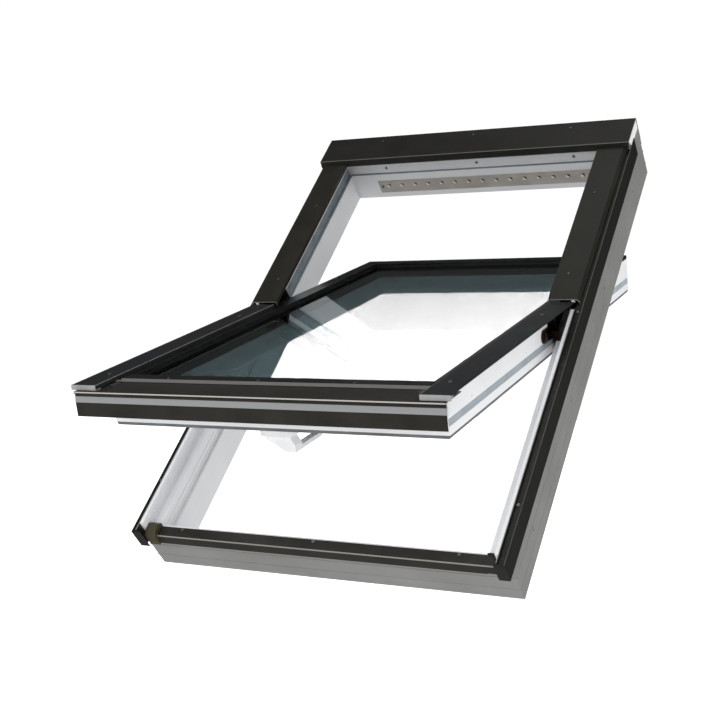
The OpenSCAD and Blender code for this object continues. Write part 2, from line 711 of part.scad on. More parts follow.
module sash_apron() {
    color("#45423c") sash() difference() {
        union() {
            translate([-apron_half, 0, 0]) rotate([90, 0, 90]) linear_extrude(2 * apron_half)
                polygon([[-apron_drop - 4.5, 82], [-apron_drop - 4.5, 108.5],
                         [-apron_drop - 2.5, 123.5], [-apron_drop - 6.5, 127.2],
                         [-apron_drop - 6.5, 128.6], [-apron_drop - 5.6, 129.3],
                         [sash_y0 - 4.2, 129.3], [sash_y0 - 4.2, 127.8],
                         [-apron_drop - 4.8, 127.8], [-apron_drop - 0.9, 124.2],
                         [-apron_drop - 3, 108.5], [-apron_drop - 3, 82]]);
            translate([-sash_x, 0, 0]) rotate([90, 0, 90]) linear_extrude(2 * sash_x)
                polygon([[sash_y0 - 5.7, 129.3], [sash_y0 - 5.7, sash_top],
                         [sash_y0 + 20, sash_top], [sash_y0 + 20, sash_top + sheet_t],
                         [sash_y0 - 4.2, sash_top + sheet_t], [sash_y0 - 4.2, 129.3]]);
        }
        for (x = apron_screw_x) hole_z(x, sash_y0 + 8, sash_top - 1, sash_top + 3);
    }
}
sash_cover_y1 = cut_y - 4;
car_screw_y = [36.6, 497.6 + (frame_l - 1180) / 2];
module sash_cover_solid() {
    difference() {
        translate([0, sash_cover_y1, 0]) rotate([90, 0, 0])
            linear_extrude(sash_cover_y1 + apron_drop - 1.4)
            polygon([[-sash_cover_in, sash_cover_top], [-sash_cover_out + 0.6, sash_cover_top],
                     [-sash_cover_out, sash_cover_top - 0.6],
                     [-sash_cover_out, sash_cover_top - sheet_t],
                     [-sash_cover_in - sheet_t, sash_cover_top - sheet_t],
                     [-sash_cover_in - sheet_t, bead_z], [-sash_cover_in, bead_z]]);
        for (y = car_screw_y) hole_z(-car_x, y, sash_cover_top - 3, sash_cover_top + 1);
    }
}
car_x = 343.7 + (half_w - 390);
module sash_cover_left() { color("#34383a") sash() sash_cover_solid(); }
module sash_cover_right() { color("#34383a") sash() flip() sash_cover_solid(); }
module apron_cap_solid() {
    slab(-sash_cover_out, -sash_cover_in, -apron_drop, -apron_drop + 1.4, 130.8, sash_cover_top);
    slab(-sash_cover_out + sheet_t + 1.8, -sash_cover_in - sheet_t - 0.4,
         -apron_drop + 1.4 - e, -20.6, 130.8, sash_cover_top - sheet_t);
    slab(-apron_half, -sash_cover_in - 1, -apron_drop + 3, -20.6, 129.3, 130.8 + e);
}
module apron_cap_left() { color("#9a9a9a") sash() apron_cap_solid(); }
module apron_cap_right() { color("#9a9a9a") sash() flip() apron_cap_solid(); }
module carrier_solid() {
    difference() {
        translate([0, pivot_y - house_l / 2 - 3, 0]) rotate([90, 0, 0])
            linear_extrude(pivot_y - house_l / 2 - 3 + 12)
            polygon([[-sash_cover_in - 3, bead_z], [-sash_x + 0.4, bead_z],
                     [-sash_x + 0.4, side_cover_top + 1.2],
                     [-car_x - 22, side_cover_top + 1.2], [-car_x - 22, sash_cover_top - sheet_t],
                     [-sash_cover_in - 3, sash_cover_top - sheet_t]]);
        for (y = car_screw_y) hole_z(-car_x, y, side_cover_top, sash_cover_top);
    }
}
module cover_carriers() {
    color("#c8cbcc") sash() {
        carrier_solid();
        flip() carrier_solid();
    }
}
module sash_gasket() {
    color("#6e7072") sash() union() {
        ring(sash_x - 1.2, sash_y0 + 1.2, sash_y1 - 1.2, 5, 46.5, sash_z0);
        ring(sash_x - 2.2, sash_y0 + 2.2, sash_y1 - 2.2, 3, 44.5, 46.5 + e);
    }
}
module sash_screws() {
    color("silver") sash() {
        for (s = [0, 1]) mirror([s, 0, 0]) {
            for (y = car_screw_y) screw_z(car_x, y, sash_cover_top, 5.5);
            for (y = bead_screw_y) screw_z(sash_x - 9, y, bead_z, 7.8, 2.8);
            arm_holes(shank_r, -8, 10.9);
        }
        for (x = bead_screw_x) screw_z(x, sash_y1 - 9, bead_z, 7.8, 2.8);
        for (x = apron_screw_x) screw_z(x, sash_y0 + 8, bead_z + 3, 10.9, 2.8);
        for (s = [-1, 1]) translate([s * handle_screw_x, hand_y, base_z]) {
            translate([0, 0, 4]) cylinder(r = shank_r, h = 24);
            translate([0, 0, 2]) cylinder(r = head_r, h = 2);
        }
    }
}
base_z = 32;
handle_screw_x = handle_w / 2 - 8;
grip_x0 = 19;
grip_x1 = 34;
grip_z = 2;
module handle_base() {
    color("#eceeef") sash() difference() {
        translate([0, 0, base_z]) linear_extrude(sash_z0 - base_z)
            polygon([[-handle_w / 2 + 4, hand_y - 20], [handle_w / 2 - 4, hand_y - 20],
                     [handle_w / 2, hand_y - 16], [handle_w / 2, hand_y + 16],
                     [handle_w / 2 - 4, hand_y + 20], [-handle_w / 2 + 4, hand_y + 20],
                     [-handle_w / 2, hand_y + 16], [-handle_w / 2, hand_y - 16]]);
        translate([0, hand_y, base_z - 1]) cylinder(r = 5.3, h = 30);
        for (s = [-1, 1]) hole_z(s * handle_screw_x, hand_y, base_z - 1, sash_z0 + 1);
        for (s = [-1, 1]) translate([s * handle_screw_x, hand_y, base_z - 1])
            cylinder(r = head_r + fit, h = 5);
    }
}
module lever() {
    color("#eceeef") sash() difference() {
        union() {
            translate([0, hand_y + 12, 0]) rotate([90, 0, 0]) linear_extrude(24)
                polygon([[-25, base_z - 0.3], [-25.5, 27], [-23, 23], [-7, 16], [5, 7],
                         [11, 3.4], [17, grip_z], [grip_x1, grip_z], [grip_x1, grip_z + 13],
                         [24, base_z - 0.3]]);
            slab(grip_x0, grip_x1, hand_y - 12 + e, hand_y + lever_l - 7.5, grip_z, grip_z + 8);
            translate([(grip_x0 + grip_x1) / 2, hand_y + lever_l - 7.5, grip_z])
                cylinder(r = (grip_x1 - grip_x0) / 2, h = 8);
        }
        translate([-spindle_a / 2 - fit, hand_y - spindle_a / 2 - fit, lever_z + 5])
            cube([spindle_a + 2 * fit, spindle_a + 2 * fit, 40]);
    }
}
module spindle() {
    color("silver") sash()
        translate([-spindle_a / 2, hand_y - spindle_a / 2, lever_z + 5])
            cube([spindle_a, spindle_a, 65]);
}
module lock_bolt() {
    color("silver") sash() difference() {
        slab(-bolt_w / 2, bolt_w / 2, sash_y0 + 0.4, sash_y0 + 46,
             bolt_z - bolt_h / 2, bolt_z + bolt_h / 2);
        slab(-6, 6, hand_y - 5.6, hand_y + 17.8, bolt_z - 10, bolt_z + 10);
    }
}

stile_left();
stile_right();
head_member();
sill_member();
liner_left();
liner_right();
liner_head();
liner_sill();
frame_steel_sides();
frame_steel_head();
side_cover_left();
side_cover_right();
end_cap_left();
end_cap_right();
sill_cover();
sill_block_left();
sill_block_right();
wide_cover_left();
wide_cover_right();
cover_brackets();
hood();
head_box();
vent_strip();
vent_filter();
frame_gasket();
hinge_housing_left();
hinge_housing_right();
lock_keeper();
cover_screws();
frame_screws();
hinge_screws();
sash_stile_left();
sash_stile_right();
sash_head();
sash_rail();
sash_steel_sides();
sash_steel_ends();
pane_outer();
pane_inner();
pane_spacer();
glazing_gasket();
glazing_tape();
bead_left();
bead_right();
bead_top();
bead_bottom();
sash_cover_left();
sash_cover_right();
sash_apron();
apron_cap_left();
apron_cap_right();
cover_carriers();
sash_gasket();
hinge_arm_left();
hinge_arm_right();
sash_screws();
handle_base();
lever();
spindle();
lock_bolt();
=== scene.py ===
# %% [markdown]
# # A roof skylight, part open
# The metal, plastic and glass parts come ready made from the solid model, each in its place.
# This lesson gives every one of them its finish, and adds what is too fine for the
# solid model: cross recesses in the screws, the small flaps of the vent strip, clips and
# corner pieces. Along the sheet edges it paints pale lines, part bare metal and part
# painted highlight.

# %% Load the solid model
import json
import math

import bmesh
import bpy
from mathutils import Euler, Matrix, Vector


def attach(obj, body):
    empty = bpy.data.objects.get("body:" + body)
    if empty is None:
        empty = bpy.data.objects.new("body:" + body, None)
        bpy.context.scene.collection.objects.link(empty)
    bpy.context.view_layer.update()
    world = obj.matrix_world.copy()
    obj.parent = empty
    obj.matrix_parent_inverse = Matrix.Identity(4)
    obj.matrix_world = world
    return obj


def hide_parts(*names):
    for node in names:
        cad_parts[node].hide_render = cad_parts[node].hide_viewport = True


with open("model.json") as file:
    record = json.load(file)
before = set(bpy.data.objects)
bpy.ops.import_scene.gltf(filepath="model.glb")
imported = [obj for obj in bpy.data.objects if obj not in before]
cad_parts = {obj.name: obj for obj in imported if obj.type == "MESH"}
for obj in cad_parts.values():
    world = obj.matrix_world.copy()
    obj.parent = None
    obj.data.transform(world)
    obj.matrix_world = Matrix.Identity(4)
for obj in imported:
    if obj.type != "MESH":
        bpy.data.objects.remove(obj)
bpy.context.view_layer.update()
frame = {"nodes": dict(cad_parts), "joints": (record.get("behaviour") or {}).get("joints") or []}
parts = frame["nodes"]
scene = bpy.context.scene

# %% [markdown]
# ## Two slopes
# The frame lies in a roof of 45 degrees. The sash is turned 31.6 degrees about a level axis,
# so it stands at 13.4 degrees. Each slope gets one matrix, which lays a piece that was drawn
# flat onto its slope. Flat means across, up the slope and out of the roof, so every later size
# can be written as a maker would measure it. The sash is always drawn as if it were shut.

# %% Places on the roof and on the sash
PITCH = 45.0
OPENING = 31.6
TILT = {"frame": -PITCH, "sash": OPENING - PITCH}
PIVOT = Vector(frame["joints"][0]["pos_m"])
# the same axis in a maker's millimetres
PIVOT_MADE = Vector((0, 611, 146))

ROOF = Matrix.Rotation(math.radians(PITCH), 4, "X")
SWING = Matrix.Rotation(math.radians(-OPENING), 4, "X")
SASH = Matrix.Translation(PIVOT) @ SWING @ Matrix.Translation(-PIVOT) @ ROOF
lies = {"frame": ROOF, "sash": SASH}
print("turning axis at", [round(v, 4) for v in PIVOT])
print("and from the maker's sizes", [round(v, 4) for v in ROOF @ (PIVOT_MADE / 1000)])

# %% [markdown]
# ## Camera
# The camera stands to the right of the window and in front of it, at the height of its
# middle, and looks nearly level across it. It could be aimed by a constraint, but one matrix
# holds its place and turn exactly: the turn is a tilt, a slight roll and a heading. The lens
# is rather long, which keeps the perspective as calm as in a catalogue.

# %% Camera
camera = bpy.data.objects.new("Camera", bpy.data.cameras.new("Camera"))
scene.collection.objects.link(camera)
scene.camera = camera
camera.data.sensor_width = 36.0
camera.data.lens = 63.7195
camera.data.clip_start, camera.data.clip_end = 0.05, 60
CAMERA_PLACE = (1.15139, -2.12391, 0.50587)
CAMERA_TURN = Euler([math.radians(angle) for angle in (87.945, 0.2057, 27.1352)])
camera.matrix_world = Matrix.Translation(CAMERA_PLACE) @ CAMERA_TURN.to_matrix().to_4x4()
print("lens", round(camera.data.lens, 2), "mm")

# %% [markdown]
# ## Studio
# A white cove lit from all sides. The background is much brighter for light that comes
# through the panes than for light that falls on the parts. That stands in for the lit wall
# behind the product, and lets tinted glass look dark over the frame and clear over the
# background. That light is also a little red, which the green-blue panes take away again, so
# the background stays white through them. A node tree can tell such light from its bounces:
# it has passed a pane and hasn't met any other surface on the way.


# %% One function that adds a node
def add(tree, kind, inputs=None, **settings):
    """Adds a node to a tree. Settings are its own options; inputs are values or links, by socket."""
    made = tree.nodes.new(kind)
    for option, value in settings.items():
        setattr(made, option, value)
    for socket, value in (inputs or {}).items():
        if isinstance(value, bpy.types.NodeSocket):
            tree.links.new(value, made.inputs[socket])
        else:
            made.inputs[socket].default_value = value
    return made


# %% Light seen straight through the panes
THROUGH_GLASS = 16.0
THROUGH_TINT = (1.0, 0.67, 0.63, 1.0)
WHITE = (1, 1, 1, 1)


def straight_through(tree):
    """Socket that is 1 for what is seen straight through a pane, with no other bounce."""
    ray = add(tree, "ShaderNodeLightPath").outputs
    depths = {0: ray["Diffuse Depth"], 1: ray["Glossy Depth"]}
    bounces = add(tree, "ShaderNodeMath", depths, operation="ADD")
    none = add(tree, "ShaderNodeMath", {0: bounces.outputs[0], 1: 0.5}, operation="LESS_THAN")
    passed = {0: none.outputs[0], 1: ray["Is Transmission Ray"]}
    return add(tree, "ShaderNodeMath", passed, operation="MULTIPLY").outputs[0]


def choose(tree, switch, off, on):
    """A number that goes from off to on as the switch goes from 0 to 1."""
    return add(tree, "ShaderNodeMapRange", {"Value": switch, "To Min": off, "To Max": on}).outputs[0]


def through_tint(tree, through):
    """White, or the tint where the light is seen straight through a pane."""
    colours = {0: through, 6: WHITE, 7: THROUGH_TINT}
    return add(tree, "ShaderNodeMix", colours, data_type="RGBA").outputs[2]


print("strength through the panes", THROUGH_GLASS)

# %% Background
AROUND = 1.08
BACKDROP = 1.05

world = bpy.data.worlds.new("Studio")
scene.world = world
world.use_nodes = True
tree = world.node_tree
tree.nodes.clear()
ray = add(tree, "ShaderNodeLightPath").outputs
sky = add(tree, "ShaderNodeTexCoord")
height = add(tree, "ShaderNodeSeparateXYZ", {0: sky.outputs["Generated"]})
# mirrored in paint and glass, the room is dark above and a little lighter below
upward = {"Value": height.outputs["Z"], "From Min": -0.3, "From Max": 0.2, "To Min": 0.16, "To Max": 0.04}
mirrored = add(tree, "ShaderNodeMapRange", upward)
through = straight_through(tree)
soft = choose(tree, ray["Is Glossy Ray"], AROUND, mirrored.outputs[0])
bright = choose(tree, through, soft, THROUGH_GLASS)
plate = choose(tree, ray["Is Camera Ray"], bright, BACKDROP)
light = add(tree, "ShaderNodeBackground", {"Color": through_tint(tree, through), "Strength": plate})
add(tree, "ShaderNodeOutputWorld", {"Surface": light.outputs[0]})
scene.view_settings.view_transform = "Standard"
print("background", light.name)


# %% Lamps
def softbox(name, place, target, size, power):
    """A square area lamp at a place, facing a target, both in metres. Power is in watts."""
    lamp = bpy.data.objects.new(name, bpy.data.lights.new(name, "AREA"))
    scene.collection.objects.link(lamp)
    lamp.data.shape, lamp.data.size, lamp.data.energy = "SQUARE", size, power
    lamp.location = place
    lamp.rotation_mode = "QUATERNION"
    lamp.rotation_quaternion = (Vector(target) - Vector(place)).to_track_quat("-Z", "Y")


MIDDLE = (0, 0.35, 0.45)
softbox("key", (2.2, -2.4, 2.6), MIDDLE, 1.6, 7)
softbox("fill", (-2.2, -2.6, 1.2), MIDDLE, 2.0, 12)
softbox("top", (0.2, 0.4, 3.6), MIDDLE, 1.8, 6)

# %% [markdown]
# The floor is a plain white sheet, nearly a metre under the window, as it is under a window
# in a roof. Paint and glass mirror it dark, as they mirror the room.

# %% Floor
FLOOR_LEVEL = -0.9
FLOOR_HALF = 14

sheet = bmesh.new()
bmesh.ops.create_grid(sheet, x_segments=1, y_segments=1, size=FLOOR_HALF)
floor = bpy.data.objects.new("floor", bpy.data.meshes.new("floor"))
sheet.to_mesh(floor.data)
sheet.free()
floor.data.transform(Matrix.Translation((0, 0, FLOOR_LEVEL)))
scene.collection.objects.link(floor)

# white paper: even and matt, so that nothing on the floor draws the eye
paper = bpy.data.materials.new("white_paper")
paper.use_nodes = True
tree = paper.node_tree
tree.nodes.clear()
ray = add(tree, "ShaderNodeLightPath").outputs
through = straight_through(tree)
matt = add(tree, "ShaderNodeBsdfDiffuse", {"Color": choose(tree, ray["Is Glossy Ray"], 0.9, 0.12)})
bounce = choose(tree, ray["Is Diffuse Ray"], 0.0, 0.25)
near = choose(tree, ray["Is Camera Ray"], bounce, 0.6)
glow = choose(tree, through, near, THROUGH_GLASS)
lit = add(tree, "ShaderNodeEmission", {"Color": through_tint(tree, through), "Strength": glow})
both = add(tree, "ShaderNodeAddShader", {0: matt.outputs[0], 1: lit.outputs[0]})
add(tree, "ShaderNodeOutputMaterial", {"Surface": both.outputs[0]})
floor.data.materials.append(paper)
print("floor at", floor.data.vertices[0].co.z)

# %% [markdown]
# ## Finishes
# Every finish starts from the real stuff: what it is, how its surface was made, and how
# coarse its pattern is in millimetres. Patterns are read from object coordinates, which are
# metres in the room, turned so that one axis runs along the profile. A picture of a surface
# would need seams and would stretch over the corners. A pattern worked out from the place of
# each point has neither, and its grain can be set in millimetres.


# %% Helpers for finishes
def linear(code):
    """An sRGB colour such as "7d7d7b" as the linear numbers that a shader needs."""
    values = [int(code[i:i + 2], 16) / 255 for i in (0, 2, 4)]
    return tuple(v / 12.92 if v <= 0.04045 else ((v + 0.055) / 1.055) ** 2.4 for v in values) + (1.0,)


def finish_start(name):
    """An empty material with its shader: the material, its tree, the shader and the object coordinates."""
    material = bpy.data.materials.new(name)
    material.use_nodes = True
    tree = material.node_tree
    tree.nodes.clear()
    shader = add(tree, "ShaderNodeBsdfPrincipled")
    add(tree, "ShaderNodeOutputMaterial", {"Surface": shader.outputs[0]})
    place = add(tree, "ShaderNodeTexCoord").outputs["Object"]
    return material, tree, shader, place


def unturned(tree, place, body):
    """Object coordinates turned back from the slope of a body, in metres."""
    settings = {"Vector": place, "Angle": math.radians(TILT[body])}
    return add(tree, "ShaderNodeVectorRotate", settings, rotation_type="X_AXIS").outputs[0]


def along(tree, place, body, run, wide, long):
    """Coordinates for streaks along a profile, each so many millimetres wide and long."""
    fine, slow = 1000 / wide, 1000 / long
    scale = (slow, fine, fine) if run == "x" else (fine, slow, fine)
    return add(tree, "ShaderNodeMapping", {"Vector": unturned(tree, place, body), "Scale": scale}).outputs[0]


def spread(tree, value, low, high, start=0.3, end=0.7):
    """A pattern's grey values mapped to a small range, such as a roughness."""
    spans = {"Value": value, "From Min": start, "From Max": end, "To Min": low, "To Max": high}
    return add(tree, "ShaderNodeMapRange", spans).outputs[0]


def tones(tree, value, dark, pale):
    """A pattern's grey values turned to a blend of two near colours."""
    colours = {0: value, 6: linear(dark), 7: linear(pale)}
    return add(tree, "ShaderNodeMix", colours, data_type="RGBA").outputs[2]


def millimetres(tree, place, body):
    """A maker's own sizes at a point: across (without sign), up the slope and outwards."""
    turn = Matrix.Rotation(math.radians(TILT[body]), 4, "X")
    shift = PIVOT_MADE - 1000 * (turn @ PIVOT) if body == "sash" else Vector((0, 0, 0))
    sizes = {0: unturned(tree, place, body), 1: (1000, 1000, 1000), 2: tuple(shift)}
    sized = add(tree, "ShaderNodeVectorMath", sizes, operation="MULTIPLY_ADD")
    split = add(tree, "ShaderNodeSeparateXYZ", {0: sized.outputs[0]})
    across = add(tree, "ShaderNodeMath", {0: split.outputs[0]}, operation="ABSOLUTE")
    return across.outputs[0], split.outputs[1], split.outputs[2]


def within(tree, axes, boxes):
    """Socket that is 1 inside any of the boxes; a box is {axis number: (low, high)} in millimetres."""
    total = 0.0
    for box in boxes:
        one = 1.0
        for axis, (low, high) in box.items():
            middle, half = (low + high) / 2, (high - low) / 2
            near = add(tree, "ShaderNodeMath", {0: axes[axis], 1: middle, 2: half}, operation="COMPARE")
            one = add(tree, "ShaderNodeMath", {0: near.outputs[0], 1: one}, operation="MULTIPLY").outputs[0]
        total = add(tree, "ShaderNodeMath", {0: one, 1: total}, operation="MAXIMUM").outputs[0]
    return total


def repaint(tree, mask, colour, over):
    """A colour that changes to another where the mask is 1."""
    return add(tree, "ShaderNodeMix", {0: mask, 6: colour, 7: linear(over)}, data_type="RGBA").outputs[2]


def skin(tree, shader, colour, rough, height, strength, depth):
    """Gives a shader its colour and roughness, and a bump from a pattern; the depth is in metres."""
    bump = add(tree, "ShaderNodeBump", {"Height": height, "Strength": strength, "Distance": depth})
    tree.links.new(colour, shader.inputs["Base Color"])
    tree.links.new(rough, shader.inputs["Roughness"])
    tree.links.new(bump.outputs[0], shader.inputs["Normal"])


print("white", [round(v, 3) for v in linear("eef0f1")])

# %% [markdown]
# ### Extruded plastic
# The frame and sash are hard PVC pressed through a die. That leaves a satin skin with very
# faint die lines along the profile, a millimetre or so apart. A stretched noise gives the
# lines, and a second, slow one the slight cloudiness of a large plastic face.


# %% Extruded PVC
def extruded_pvc(name, dark, pale, body, run, rough=0.36):
    """Extruded PVC with die lines: IOR 1.53, satin."""
    material, tree, shader, place = finish_start(name)
    streaks = along(tree, place, body, run, wide=1.2, long=400)
    lines = add(tree, "ShaderNodeTexNoise", {"Vector": streaks, "Scale": 1.0, "Detail": 3.0})
    cloud = add(tree, "ShaderNodeTexNoise", {"Vector": place, "Scale": 9.0, "Detail": 2.0})
    shader.inputs["IOR"].default_value = 1.53
    patterns = {0: lines.outputs["Fac"], 1: cloud.outputs["Fac"]}
    both = add(tree, "ShaderNodeMath", patterns, operation="MULTIPLY").outputs[0]
    colour = tones(tree, spread(tree, both, 0, 1, 0.1, 0.4), dark, pale)
    gloss = spread(tree, lines.outputs["Fac"], rough - 0.05, rough + 0.07)
    skin(tree, shader, colour, gloss, lines.outputs["Fac"], 0.04, 0.0002)
    return material


finishes = {}
for run in ("x", "y"):
    # white PVC: a soft sheen that stretches along the profile
    for body in ("frame", "sash"):
        white = extruded_pvc("white_pvc_" + body + "_" + run, "ebecee", "f2f3f5", body, run)
        finishes["white", body, run] = white
    # the grey outer skin is the same plastic with a painted film: duller, and a little cloudy
    grey = extruded_pvc("grey_pvc_frame_" + run, "7c7c7a", "8a8a88", "frame", run, 0.46)
    finishes["grey", "frame", run] = grey
print(len(finishes), "plastic finishes")

# %% [markdown]
# ### Coil-coated aluminium
# The rain covers are folded from aluminium sheet that was painted on the roll. The coat is
# about 25 micrometres thick, with a fine orange peel of two to three millimetres and a satin
# gloss. Paint over metal reflects as a plastic does, so metallic stays at zero. Cuts leave bare
# metal and bends catch the light, so every cover gets fine pale edges: part bare metal, part
# painted highlight. The apron gets painted highlights as a pale band and lip, and the drip bar
# one on a face. Each cover's own tone is painted light and shade as well: the one coat is set
# darker or lighter, and bluer on the sash, by the light on that cover. The pale marks could be
# thin strips of their own, but they are part of one sheet, so they are laid on its paint as
# boxes in a maker's millimetres.


# %% Coil-coated aluminium
def coated_sheet(name, dark, pale, rough, body="frame", edge_and_highlight_layers=()):
    """Coil-coated aluminium: IOR 1.5, satin, orange peel. Its layers are (colour, boxes) painted
    over it: pale edges and bands, part bare metal and part painted highlight.
    """
    material, tree, shader, place = finish_start(name)
    peel = add(tree, "ShaderNodeTexNoise", {"Vector": place, "Scale": 420.0, "Detail": 1.0})
    cloud = add(tree, "ShaderNodeTexNoise", {"Vector": place, "Scale": 14.0, "Detail": 4.0})
    shader.inputs["IOR"].default_value = 1.5
    colour = tones(tree, spread(tree, cloud.outputs["Fac"], 0, 1), dark, pale)
    axes = millimetres(tree, place, body) if edge_and_highlight_layers else None
    for over, boxes in edge_and_highlight_layers:
        colour = repaint(tree, within(tree, axes, boxes), colour, over)
    gloss = spread(tree, cloud.outputs["Fac"], rough - 0.04, rough + 0.05)
    skin(tree, shader, colour, gloss, peel.outputs["Fac"], 0.08, 0.0003)
    return material


ACROSS, UPWARD, OUTWARD = 0, 1, 2
# pale edges: part bare metal at the cuts, part painted highlight where bends catch the light
BARE_EDGE_AND_HIGHLIGHT = "8b8983"
# dark and pale tone, the body it rides on, and its painted highlights: a colour and the boxes it fills
COVERS = {
    "side cover": ("171613", "1d1c18", "frame", [
        # painted highlights along the side cover's outer top edge and its lip
        ("5d5c56", [{ACROSS: (389.3, 391), OUTWARD: (131.9, 134)}]),
        (BARE_EDGE_AND_HIGHLIGHT, [{ACROSS: (375, 378), OUTWARD: (137.9, 140)}])]),
    "hood": ("1d1c19", "252420", "frame", [
        # painted highlights along the hood's front edges and its side
        ("5d5b54", [{UPWARD: (1085, 1099.4), OUTWARD: (152.3, 154)},
                    {UPWARD: (1085, 1096), OUTWARD: (135, 137.3)}]),
        (BARE_EDGE_AND_HIGHLIGHT, [{ACROSS: (388.8, 391)}])]),
    "wide cover": ("21201b", "292822", "frame", [
        # painted highlight along the wide cover's lower end
        (BARE_EDGE_AND_HIGHLIGHT, [{UPWARD: (610, 611.5)}])]),
    "sill cover": ("2a2824", "34322d", "frame", [
        # painted highlights on the sill cover's chamfer and front fold
        (BARE_EDGE_AND_HIGHLIGHT, [{UPWARD: (-11, -7), OUTWARD: (108.1, 109.9)}, {OUTWARD: (84, 86)}])]),
    # the sash cover's lighter, bluish tone is a painted reflection of the room
    "sash cover": ("1d2022", "26292b", "sash", [
        # painted highlight along the sash cover's inner edge
        (BARE_EDGE_AND_HIGHLIGHT, [{ACROSS: (310, 321.7), OUTWARD: (139.0, 141)}])]),
    "apron": ("26241f", "312e29", "sash", [
        # painted highlights: the apron's lit upper band and its lip
        ("8d8e90", [{UPWARD: (-45, -41), OUTWARD: (108.6, 123.3)}]),
        ("b3afaa", [{UPWARD: (-46, -43), OUTWARD: (126.9, 129.2)}])]),
    "drip bar": ("151515", "1d1d1c", "sash", [
        # painted highlight on one face of the drip bar
        ("6a6866", [{UPWARD: (23.2, 28.8), OUTWARD: (129.5, 134.8)}])]),
}
# coil-coated sheet: dark, with soft highlights that waver a little; each cover's dark and pale
# tone is painted light and shade, set lighter or darker by the light on that cover
for name, (dark, pale, body, edge_and_highlight_layers) in COVERS.items():
    painted = "coated_aluminium_" + name.replace(" ", "_")
    finishes[name] = coated_sheet(painted, dark, pale, 0.42, body, edge_and_highlight_layers)
finishes["bead"] = coated_sheet("coated_aluminium_bead", "0a0b0b", "121313", 0.30)
print("coated sheet for", ", ".join(COVERS), "and bead")

# %% [markdown]
# ### Bare metals
# Zinc-coated steel shows crystals of a few millimetres, rolled aluminium broad faint marks,
# and the hinges have a bronze-coloured zinc finish. Cells in slightly different greys give
# all three, only the size of the cells changes. Metals have metallic at one and colour their
# reflections, so their tone is in the base colour.


# %% Bare metals
def rolled_metal(name, dark, pale, rough, grain):
    """Bare metal with a grain of a few millimetres, such as zinc flowers or rolling marks."""
    material, tree, shader, place = finish_start(name)
    flowers = add(tree, "ShaderNodeTexVoronoi", {"Vector": place, "Scale": 1000 / grain})
    scratch = add(tree, "ShaderNodeTexNoise", {"Vector": place, "Scale": 900.0, "Detail": 2.0})
    shader.inputs["Metallic"].default_value = 1.0
    grey = add(tree, "ShaderNodeRGBToBW", {"Color": flowers.outputs["Color"]})
    colour = tones(tree, grey.outputs[0], dark, pale)
    gloss = spread(tree, scratch.outputs["Fac"], rough - 0.06, rough + 0.08)
    skin(tree, shader, colour, gloss, scratch.outputs["Fac"], 0.12, 0.0001)
    return material


# galvanised steel of the tubes, bolt and keeper: cool grey crystals that catch the light
finishes["zinc"] = rolled_metal("galvanised_steel", "9a9fa2", "b9bec1", 0.38, 6)
# rolled aluminium of brackets and clips: pale, with broad faint patches
finishes["mill"] = rolled_metal("rolled_aluminium", "c4c5c5", "d8d9d9", 0.32, 9)
# stainless screws: small warm sparks
finishes["stainless"] = rolled_metal("stainless_steel_screw", "a8a6a2", "c2c0bc", 0.28, 1.5)
# plated zinc hinges: nearly black, with a brown glint; the arms are smoother where they slide
finishes["bronze"] = rolled_metal("bronze_zinc_plate", "241a12", "3a2a1d", 0.34, 5)
finishes["dark bronze"] = rolled_metal("dark_bronze_zinc_plate", "2b1f15", "463223", 0.26, 5)
print(len(finishes), "finishes so far")

# %% [markdown]
# ### Moulded plastics, rubber and paint
# Moulded parts have a spark-eroded grain of about half a millimetre, rubber seals a matt
# skin with a faint bloom, and the handle a smooth white powder coat. All are plastics to the
# light, so one function makes them from a tone, a roughness and a grain.


# %% Moulded plastic, rubber and powder coat
def moulded(name, dark, pale, rough, ior, grain, depth):
    """Moulded plastic, rubber or powder coat: a grain in millimetres, its depth a bump strength."""
    material, tree, shader, place = finish_start(name)
    grains = add(tree, "ShaderNodeTexNoise", {"Vector": place, "Scale": 1000 / grain, "Detail": 2.0})
    bloom = add(tree, "ShaderNodeTexNoise", {"Vector": place, "Scale": 30.0, "Detail": 3.0})
    shader.inputs["IOR"].default_value = ior
    colour = tones(tree, spread(tree, bloom.outputs["Fac"], 0, 1), dark, pale)
    gloss = spread(tree, bloom.outputs["Fac"], rough - 0.05, rough + 0.06)
    skin(tree, shader, colour, gloss, grains.outputs["Fac"], depth, 0.0002)
    return material


# moulded polyamide of the side covers' ends: a dull dark grain
finishes["end cap"] = moulded("black_moulded_polyamide", "26231f", "302d28", 0.5, 1.53, 0.6, 0.25)
# the olive block of the sill: a waxy, greenish dark plastic
finishes["olive"] = moulded("olive_moulded_polypropylene", "3f3b26", "4c4731", 0.52, 1.49, 0.6, 0.25)
# the apron's end caps: light grey with a fine grain
finishes["pale cap"] = moulded("grey_moulded_polyamide", "8e8e8e", "a2a2a2", 0.45, 1.53, 0.6, 0.2)
# rubber seals drink the light: black round the glass, then three greys, each a shade paler;
# the frame seal's blue-grey is painted shade
finishes["rubber"] = moulded("black_epdm_rubber", "1b1c1d", "26282a", 0.62, 1.52, 0.8, 0.2)
finishes["grey seal"] = moulded("grey_tpe_rubber", "64686b", "767a7d", 0.6, 1.5, 0.8, 0.2)
# the frame seal: its blue-grey is painted shade of the groove above the hinges
finishes["seal with painted shade"] = moulded("tpe_seal_with_painted_shade", "747e84", "8b959b", 0.6, 1.5, 0.8, 0.2)
finishes["side seal"] = moulded("pale_grey_tpe_rubber", "98a1a8", "a9b2b9", 0.6, 1.5, 0.8, 0.2)
# moulded white PVC of carriers, pads and flaps: flatter and less shiny than the profiles
finishes["white part"] = moulded("white_moulded_pvc", "e6e8e9", "f1f2f3", 0.42, 1.53, 0.6, 0.15)
